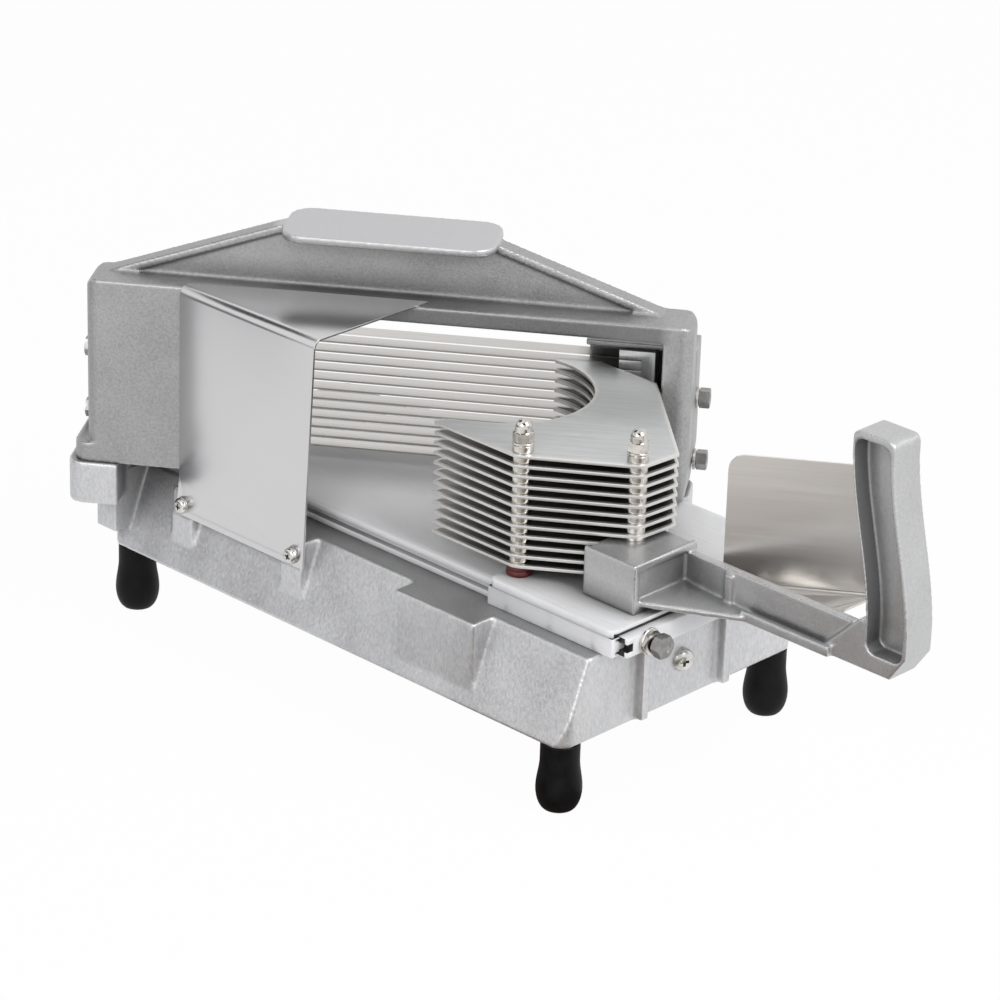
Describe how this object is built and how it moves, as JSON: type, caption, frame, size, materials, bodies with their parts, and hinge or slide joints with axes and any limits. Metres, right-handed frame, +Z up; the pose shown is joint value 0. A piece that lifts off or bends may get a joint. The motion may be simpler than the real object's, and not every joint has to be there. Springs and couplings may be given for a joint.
{
  "type": "tomato slicer",
  "caption": "Hand-operated tomato slicer: a pusher with an upright grip slides notched plates through a diagonal frame of thin level blades on a cast base with rubber feet.",
  "frame": {"origin": "middle of the object's outline over the floor, on the plane the four feet stand on", "axes": "+X along the slide from the base's blind end to the grip's end, +Y from the open front with the sheet guard to the back, +Z up"},
  "size_m": [0.5874, 0.2655, 0.2695],
  "materials": {
    "cast_aluminium": "tumbled casting with a fine grain and bright worn edges",
    "machined_aluminium": "milled",
    "plate_aluminium": "satin sheet",
    "blade_steel": "ground stainless strip",
    "stainless_sheet": "brushed stainless sheet",
    "plated_steel": "zinc or nickel plated",
    "bright_nut": "polished",
    "white_plastic": "milled polyethylene",
    "black_rubber": "matte moulded",
    "red_rubber": "smooth moulded"
  },
  "bodies": {
    "base": {"base_casting": "cast_aluminium", "rubber_feet": "black_rubber", "foot_studs": "plated_steel", "slide_table": "white_plastic", "table_screws": "plated_steel", "blade_frame": "cast_aluminium", "frame_bolts": "plated_steel", "blade_holder_right": "machined_aluminium", "blade_holder_left": "machined_aluminium", "blades": "blade_steel", "blade_pins": "plated_steel", "tension_bolts": "plated_steel", "tension_washers": "plated_steel", "front_guard": "stainless_sheet", "guard_screws": "plated_steel", "stop_bolt": "plated_steel", "stop_washer": "plated_steel", "stop_nut": "plated_steel", "end_screw": "plated_steel"},
    "pusher": {"slide_shoe": "white_plastic", "front_gib": "white_plastic", "rear_gib": "white_plastic", "gib_screws": "plated_steel", "pusher_casting": "cast_aluminium", "block_screws": "plated_steel", "post_bumper": "red_rubber", "pusher_posts": "plated_steel", "pusher_plates": "plate_aluminium", "short_plates": "plate_aluminium", "plate_spacers": "plated_steel", "post_washers": "plated_steel", "acorn_nuts": "bright_nut", "hand_guard": "stainless_sheet", "hand_guard_screws": "plated_steel"}
  },
  "joints": [
    {"name": "pusher_slide", "type": "slide", "parent": "base", "child": "pusher", "axis": [-1, 0, 0], "range_m": [0, 0.2]}
  ]
}
